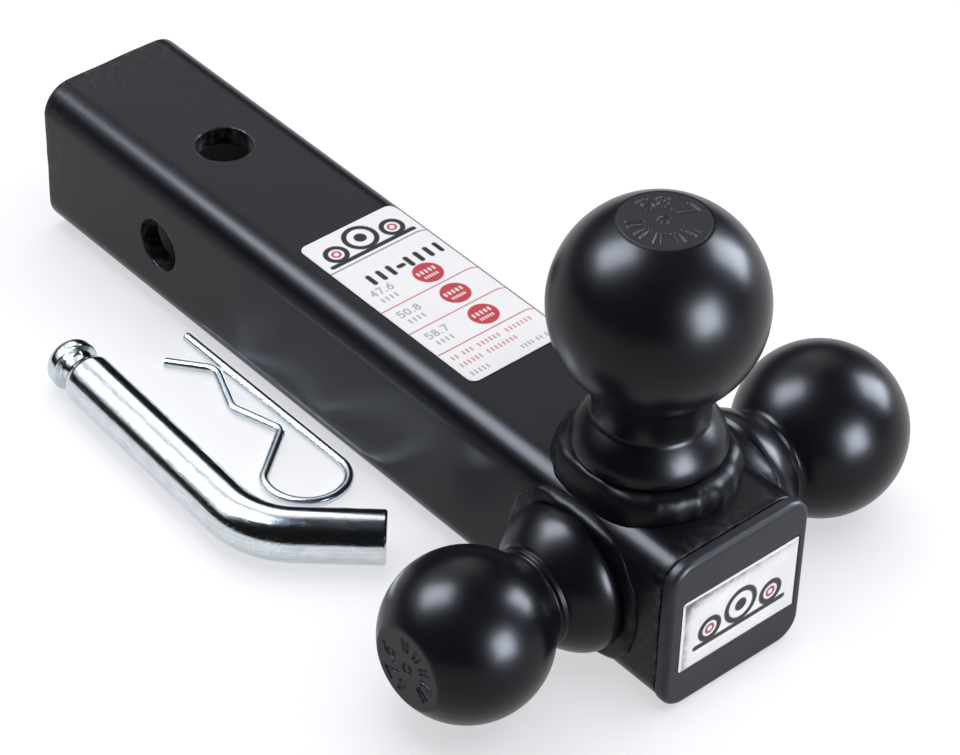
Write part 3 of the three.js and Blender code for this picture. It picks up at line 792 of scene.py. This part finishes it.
def label_print(points):
    """Cover of each ink: the mark and a rule at the head, blocks for the title, three rows with a size and
    a red disc, ruled off in red, and blocks for the small print at the foot."""
    mark_black, mark_red = three_ring_mark(points, 0.92, (2.4, 69.0))
    title = blocks(-7.6, 50.6, 3, 1.5, 3.4, 2.1) + blocks(6.2, 50.6, 4, 1.5, 3.4, 2.1)
    title.append([(2.4, 52.2), (3.9, 52.2)])
    grey = ink(points, [[(-15, 61.4), (22, 61.4)]], 0.6)
    red = np.maximum(mark_red, ink(points, [[(-15, y), (22, y)] for y in RULES], 0.4))
    for size, y in ROWS.items():
        figures = [stroke + (-8.3, y + 0.8) for stroke in line_of_figures(size, 2.6, 2.3)]
        grey = np.maximum(grey, 0.85 * ink(points, figures, 0.5))
        grey = np.maximum(grey, 0.85 * ink(points, blocks(-11.0, y - 2.6, 4, 0.5, 1.5, 1.1), 0.6))
        disc = np.linalg.norm(points - (7.1, y), axis=-1)
        pale = ink(points, blocks(4.2, y + 0.4, 5, 0.7, 1.0, 0.7), 0.75)
        pale = np.maximum(pale, ink(points, blocks(4.9, y - 1.9, 6, 0.4, 0.7, 0.45), 0.5))
        red = np.maximum(red, np.clip((DISC_RADIUS - disc) / INK_EDGE, 0, 1) * (1 - 0.9 * pale))
    notes = []
    for x, letters in ((-12.4, 2), (-8.4, 3), (-2.8, 6), (7.4, 7)):
        notes += blocks(x, 10.9, letters, 0.6, 1.3, 0.8)
    for x, letters in ((-12.4, 6), (-2.6, 8)):
        notes += blocks(x, 7.1, letters, 0.6, 1.3, 0.8)
    red = np.maximum(red, 0.7 * ink(points, notes, 0.6))
    foot = blocks(-12.4, 2.5, 5, 0.6, 1.5, 0.8)
    for x, letters in ((6.0, 4), (11.6, 2), (14.8, 5)):
        foot += blocks(x, 2.7, letters, 0.5, 1.2, 0.7)
    grey = np.maximum(grey, 0.9 * ink(points, foot, 0.5))
    black = np.maximum(mark_black, ink(points, title, 1.6))
    return {"black_ink": black, "red_ink": red, "grey_ink": grey}


label_film, shader, place, mark = new_finish("printed_film")
film = place.noise(14, 3).step(0.3, 0.7).blend(FILM_SHADE, FILM_WHITE)
printed = mark("grey_ink").blend(mark("red_ink").blend(film, INK_RED), INK_GREY)
mark("black_ink").blend(printed, INK_BLACK).into(shader["Base Color"])
(0.34 + 0.08 * place.noise(3, 2)).into(shader["Roughness"])
shader["Specular IOR Level"].default_value = 0.2
place.noise(6, 2).bump(0.03).into(shader["Normal"])
label_sheets, label_marks = label()
add_piece("shank_label", label_sheets, label_film, sharp=60, marks=label_marks)


# ---------------------------------------------------------------------------------------------------
# The hitch pin: round steel bar, 5/8 inch thick, with a turned groove for the clip behind its domed end
# and a handle bent cold. It is zinc plated, bright, with the pits and draw lines of the bar left in it.

PIN_RADIUS = 7.9375
PIN_TIP = (-178.0, -65.4)
PIN_YAW = math.radians(-3)
PIN_STRAIGHT = 96.4         # from the tip to the corner that the bend rounds off
PIN_BEND = math.radians(51)
PIN_BEND_RADIUS = 25.0
PIN_HANDLE = 37.6
DOME = (5.2, 7.8)           # length and radius of the domed end
ZINC_BRIGHT = (0.665, 0.708, 0.727, 1)
ZINC_DULL = (0.50, 0.545, 0.575, 1)


def bar_along(path, stations, height, sides):
    """A round bar carried along a level path. Each station is a distance along the path and a radius, and
    its circle stands square to the path, whose direction there is that of the two nearest stretches.
    Besides the sheet it gives every point's place in the bar as it was before bending."""
    steps = np.diff(path, axis=0)
    lengths = np.linalg.norm(steps, axis=1)
    units = steps / lengths[:, None]
    travel = np.concatenate([[0], np.cumsum(lengths)])
    heading = np.vstack([units[:1], units[:-1] + units[1:], units[-1:]])
    heading /= np.linalg.norm(heading, axis=1)[:, None]
    distance, radius = np.array(stations).T
    place = np.stack([np.interp(distance, travel, path[:, axis]) for axis in (0, 1)], axis=1)
    facing = np.stack([np.interp(distance, travel, heading[:, axis]) for axis in (0, 1)], axis=1)
    facing /= np.linalg.norm(facing, axis=1)[:, None]
    turn = np.linspace(0, 2 * np.pi, sides, endpoint=False)
    side = radius[:, None] * np.cos(turn)
    x = place[:, :1] - facing[:, 1:] * side
    y = place[:, 1:] + facing[:, :1] * side
    z = height + radius[:, None] * np.sin(turn)
    unbent = np.dstack([distance[:, None] + 0 * side, side, z - height])
    return sheet(np.dstack([x, y, z]), wrap_columns=True), unbent.reshape(-1, 3) * MM


def path_length(path):
    """The sum of the lengths of a path's stretches."""
    return np.linalg.norm(np.diff(path, axis=0), axis=1).sum()


def pin_path():
    """Straight from the tip to the bend, round it, and straight to the end of the handle."""
    tip = np.array(PIN_TIP)
    corner = tip + PIN_STRAIGHT * np.array([math.cos(PIN_YAW), math.sin(PIN_YAW)])
    end = corner + PIN_HANDLE * np.array([math.cos(PIN_YAW + PIN_BEND), math.sin(PIN_YAW + PIN_BEND)])
    return rounded_path([tuple(tip), (*corner, PIN_BEND_RADIUS), tuple(end)], 2)


def pin_stations(length):
    """Distance and radius: the quarter ellipse of the dome, its rim, the groove, the cone up to the full
    bar, the bar, and the chamfer and flat of the sawn end."""
    turn = np.radians(np.linspace(0, 90, 18))
    dome = np.stack([DOME[0] * (1 - np.cos(turn)), DOME[1] * np.sin(turn)], axis=1)
    groove = rounded_path([(DOME[0] + 0.4, DOME[1]), (7.3, DOME[1], 0.6), (7.9, 5.6, 0.5), (11.5, 5.6, 0.7),
                           (12.0, 6.9, 0.3), (14.5, PIN_RADIUS, 1.5), (16.0, PIN_RADIUS)], 14)
    bar = np.column_stack([np.linspace(18, length - 1.2, 100), np.full(100, PIN_RADIUS)])
    end = rounded_path([(length - 0.9, PIN_RADIUS), (length - 0.5, PIN_RADIUS, 0.2),
                        (length, PIN_RADIUS - 0.6, 0.25), (length, PIN_RADIUS - 2)], 14)
    return np.vstack([dome, groove, bar, end, [(length, 0)]])


def zinc(name, streak_length, dullness):
    """Bright zinc over drawn steel. The marks of drawing run along the bar as it was before bending, so
    the noise is stretched along its first coordinate. The dullness is added to the roughness."""
    material, shader, place, mark = new_finish(name)
    unbent = mark("unbent", "Vector")
    drawn = unbent.node("ShaderNodeMapping", inputs={"Vector": unbent, "Scale": (1 / streak_length, 1, 1)})
    streaks = drawn.noise(0.5, 3)
    blotch = unbent.noise(6, 4)
    pits = unbent.noise(0.45, 3).step(0.56, 0.72)
    shine = (0.35 * blotch + 0.65 * streaks - 0.4 * pits).step(0.25, 0.7)
    shine.blend(ZINC_DULL, ZINC_BRIGHT).into(shader["Base Color"])
    (dullness + 0.06 * blotch + 0.05 * streaks).into(shader["Roughness"])
    (0.25 * streaks + 0.25 * (1 - pits) + 0.5 * unbent.noise(0.4, 3)).bump(0.045).into(shader["Normal"])
    shader["Metallic"].default_value = 1.0
    return material


pin_route = pin_path()
pin_sheet, pin_unbent = bar_along(pin_route, pin_stations(path_length(pin_route)), PIN_RADIUS, 96)
add_piece("hitch_pin", [pin_sheet], zinc("zinc_on_bar", 12, 0.05), body="pin", sharp=60,
          marks={"unbent": pin_unbent})


# ---------------------------------------------------------------------------------------------------
# The spring clip: one length of 3 mm spring wire, bent flat into a straight leg, a pear-shaped loop for
# a finger, and a waved leg that snaps round the groove of the pin. Zinc plated, with cropped ends.

WIRE = 1.5                  # radius
LEG_Y = -27.6

# Where the straight stretches would cross, and the radius of each bend
CLIP_CORNERS = [
    (-168.0, LEG_Y),
    (-87.8, LEG_Y, 10.0),
    (-83.1, LEG_Y - 14.5, 12.1),
    (-94.5, LEG_Y - 24.95, 12.4),
    (-103.4, LEG_Y - 21.9, 6.2),
    (-116.6, LEG_Y - 4.6, 3.0),
    (-133.2, LEG_Y - 9.6, 5.0),
    (-150.0, LEG_Y - 2.5, 4.5),
    (-162.5, LEG_Y - 12.3),
]


def wire_stations(length):
    """Distance and radius of a wire with both ends cropped: a flat, a small rounding and the full wire."""
    end = rounded_path([(0, 0), (0, WIRE - 0.05, 0.3), (0.9, WIRE)], 20)
    run = np.column_stack([np.linspace(1, length - 1, 560), np.full(560, WIRE)])
    return np.vstack([end, run, (length, 0) + end[::-1] * (-1, 1)])


clip_route = rounded_path(CLIP_CORNERS, 4)
clip_sheet, clip_unbent = bar_along(clip_route, wire_stations(path_length(clip_route)), WIRE, 32)
add_piece("hitch_clip", [clip_sheet], zinc("zinc_on_wire", 8, 0.16), body="clip", sharp=60,
          marks={"unbent": clip_unbent})


# ---------------------------------------------------------------------------------------------------
# The studio: a white paper floor that gives off some light of its own, so that it carries almost no
# shadow, a pale paper dome far round it, three soft boxes, and a wide overhead that isn't mirrored.

FLOOR_HALF = 4.0
FLOOR_DROP = 0.0003         # how far the floor lies below the mount
FLOOR_GLOW = 0.62
FLOOR_WHITE = (0.45, 0.45, 0.452, 1)
DOME_RADIUS = 5.6
DOME_GLOW = 0.85
PAPER_SHADE = 0.985         # the darker blotches of the paper
BLACK = (0, 0, 0, 1)
BACKDROP = (0.985, 0.985, 1.015, 1)
SOFT_BLUE = (0.80, 0.87, 1.0)
OVERHEAD_WHITE = (0.97, 0.97, 1.0)
AIM = Vector((-0.04, 0.0, 0.04))
SKY_STRENGTH = 2.0
WALL_TOWARDS = (-0.90, -0.15, 0.41)
PATCH_TOWARDS = (-0.57, 0.515, 0.64)

# Direction from the mount, distance in metres, width and height, power in watts, colour, and whether
# the light is mirrored by shiny surfaces or lights matt ones
LIGHTS = {
    "soft_box_left": ((-0.49, -0.36, 0.79), 1.1, (0.46, 0.66), 36, SOFT_BLUE, True),
    "soft_box_right": ((0.26, 0.87, 0.45), 1.6, (0.65, 0.95), 70, SOFT_BLUE, True),
    "soft_box_front": ((0.96, 0.10, 0.29), 1.1, (0.45, 0.5), 38, SOFT_BLUE, True),
    "overhead": ((0.05, 0.3, 0.95), 1.6, (2.2, 2.2), 33, OVERHEAD_WHITE, False),
}


def mottled(place, size, colour):
    """The colour, with slightly darker blotches of this size in millimetres."""
    return place.noise(size, 3).blend(colour, tuple(PAPER_SHADE * part for part in colour[:3]) + (1,))


def paper_object(name, points, quads, paper):
    """A thing of the studio, made of paper, which isn't part of the model."""
    mesh = bpy.data.meshes.new(name)
    mesh.from_pydata(points, [], quads)
    mesh.materials.append(paper)
    made = bpy.data.objects.new(name, mesh)
    bpy.context.scene.collection.objects.link(made)
    return made


def dome_sheet():
    """Rings on a sphere, from one a little below the floor up to the pole."""
    rise = np.radians(np.linspace(-1, 90, 24))[:, None]
    turn = np.linspace(0, 2 * np.pi, 72, endpoint=False)
    level = np.cos(rise)
    rings = np.dstack([level * np.cos(turn), level * np.sin(turn), np.sin(rise) + 0 * turn])
    return sheet(DOME_RADIUS * rings, wrap_columns=True)


def area_light(name, direction, distance, size, power, colour, mirrored):
    """A rectangular soft light at this distance, facing the mount."""
    lamp = bpy.data.lights.new(name, "AREA")
    lamp.shape = "RECTANGLE"
    lamp.size, lamp.size_y = size
    lamp.energy = power
    lamp.color = colour
    light = bpy.data.objects.new(name, lamp)
    heading = Vector(direction).normalized()
    light.location = AIM + heading * distance
    light.rotation_mode = "QUATERNION"
    light.rotation_quaternion = heading.to_track_quat("Z", "Y")
    light.visible_glossy = mirrored
    light.visible_diffuse = not mirrored
    bpy.context.scene.collection.objects.link(light)


floor_paper, shader, place, mark = new_finish("floor_paper")
mottled(place, 60, FLOOR_WHITE).into(shader["Base Color"])
shader["Roughness"].default_value = 0.9
shader["Specular IOR Level"].default_value = 0.0
shader["Emission Color"].default_value = BACKDROP
shader["Emission Strength"].default_value = FLOOR_GLOW
floor_corners = FLOOR_HALF * np.array([(-1, -1), (1, -1), (1, 1), (-1, 1)])
paper_object("floor", [(x, y, -FLOOR_DROP) for x, y in floor_corners], [(0, 1, 2, 3)], floor_paper)

# The dome closes the view at low angles. It lights nothing and isn't mirrored
dome_paper, shader, place, mark = new_finish("dome_paper")
shader["Base Color"].default_value = BLACK
mottled(place, 900, BACKDROP).into(shader["Emission Color"])
shader["Emission Strength"].default_value = DOME_GLOW
dome_points, dome_quads = dome_sheet()
dome = paper_object("dome", dome_points.tolist(), dome_quads.tolist(), dome_paper)
dome.visible_glossy = dome.visible_diffuse = dome.visible_shadow = dome.visible_transmission = False

for name, setting in LIGHTS.items():
    area_light(name, *setting)

# The surroundings that are mirrored: a bright wall behind and to the left that starts a little above the
# floor, a brighter patch on it, and a dark ceiling and front
world = bpy.data.worlds.new("studio")
bpy.context.scene.world = world
world.use_nodes = True
background = world.node_tree.nodes["Background"].inputs
sky = Socket(world.node_tree, None).node("ShaderNodeTexCoord", output="Generated")


def towards(direction):
    """How nearly the view goes in this direction: the cosine of the angle between them."""
    terms = {0: sky, 1: direction}
    return sky.node("ShaderNodeVectorMath", {"operation": "DOT_PRODUCT"}, terms, output="Value")


wall = towards(WALL_TOWARDS).step(0.62, 0.67) * towards((0, 0, 1)).step(0.36, 0.48)
glow = 0.005 + 0.5 * wall + 0.5 * towards(PATCH_TOWARDS).step(0.92, 0.985)
glow.blend(BLACK, BACKDROP).into(background["Color"])
background["Strength"].default_value = SKY_STRENGTH


# ---------------------------------------------------------------------------------------------------
# The camera: a long lens, looking down at the mount from in front of its ball end, so that the shank
# runs away to the upper left with the pin and the clip on its near side.

AZIMUTH = math.radians(47.845)
ELEVATION = math.radians(39.934)
ROLL = math.radians(1.911)
DISTANCE = 0.9777
AIM_RIGHT, AIM_UP = -0.04321, 0.06136
LENS = 132.98

level_back = Vector((math.sin(AZIMUTH), -math.cos(AZIMUTH), 0))
back = level_back * math.cos(ELEVATION) + Vector((0, 0, math.sin(ELEVATION)))
level_right = Vector((math.cos(AZIMUTH), math.sin(AZIMUTH), 0))
level_up = back.cross(level_right)
right = level_right * math.cos(ROLL) + level_up * math.sin(ROLL)
up = level_up * math.cos(ROLL) - level_right * math.sin(ROLL)
lens = bpy.data.cameras.new("camera")
lens.lens = LENS
lens.sensor_width = 36
lens.clip_start, lens.clip_end = 0.05, 20
camera = bpy.data.objects.new("camera", lens)
camera.matrix_world = Matrix.Translation(right * AIM_RIGHT + up * AIM_UP + back * DISTANCE) @ Matrix(
    (right, up, back)).transposed().to_4x4()
bpy.context.scene.collection.objects.link(camera)
bpy.context.scene.camera = camera
bpy.context.scene.view_settings.view_transform = "Standard"
